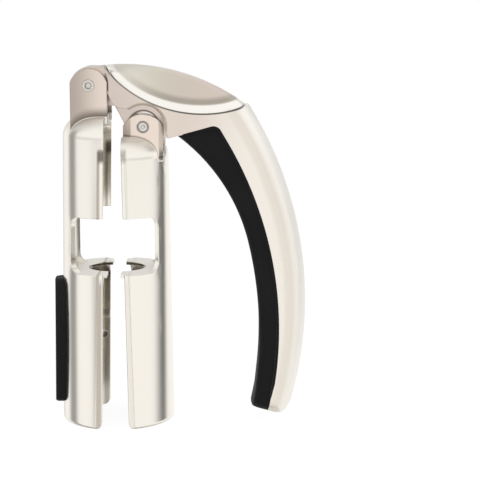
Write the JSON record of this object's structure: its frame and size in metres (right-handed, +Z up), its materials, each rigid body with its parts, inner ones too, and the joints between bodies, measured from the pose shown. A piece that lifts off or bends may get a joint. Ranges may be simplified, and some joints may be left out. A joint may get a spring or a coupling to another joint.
{
  "type": "champagne opener",
  "caption": "Lever-action opener for sparkling wine: split tubular metal shells close round the bottle neck, and a curved lever with a soft grip lifts one shell to draw the cork.",
  "frame": {"origin": "on the bottle-neck axis, in the plane of the shells' lower rims", "axes": "+X towards the lever's handle, +Y away from the picture's viewer, +Z up along the neck"},
  "size_m": [0.1029, 0.0428, 0.1448],
  "materials": {
    "shell_nickel": "satin nickel plate with a warm champagne tone",
    "lever_nickel": "satin nickel plate with a warm champagne tone",
    "crown_nickel": "smooth satin nickel plate",
    "soft_grip": "soft-touch black",
    "black_plastic": "moulded black",
    "steel": "bright steel",
    "bronze": "plain bearing bronze"
  },
  "bodies": {
    "left_half": {"left_shell": "shell_nickel", "left_hinge_pin": "steel", "left_washer_front": "steel", "left_washer_back": "steel", "shell_pad": "soft_grip", "pad_core": "steel", "pad_screw_upper": "steel", "pad_screw_lower": "steel"},
    "lever": {"lever_body": "lever_nickel", "crown_cap": "crown_nickel", "lever_grip": "soft_grip", "grip_core": "black_plastic", "grip_screw_upper": "steel", "grip_screw_lower": "steel", "left_hinge_bush": "bronze", "right_hinge_bush": "bronze"},
    "right_half": {"right_shell": "shell_nickel", "right_hinge_pin": "steel", "right_washer_front": "steel", "right_washer_back": "steel"}
  },
  "joints": [
    {"name": "lever_lift", "type": "hinge", "parent": "left_half", "child": "lever", "pos_m": [-0.0096, 0, 0.1368], "axis": [0, -1, 0], "range_deg": [0, 65]},
    {"name": "right_half_level", "type": "hinge", "parent": "lever", "child": "right_half", "pos_m": [0.0117, 0, 0.1206], "axis": [0, -1, 0], "range_deg": [-65, 0]}
  ],
  "couplings": [
    {"joint": "right_half_level", "follows": "lever_lift", "ratio": -1}
  ]
}
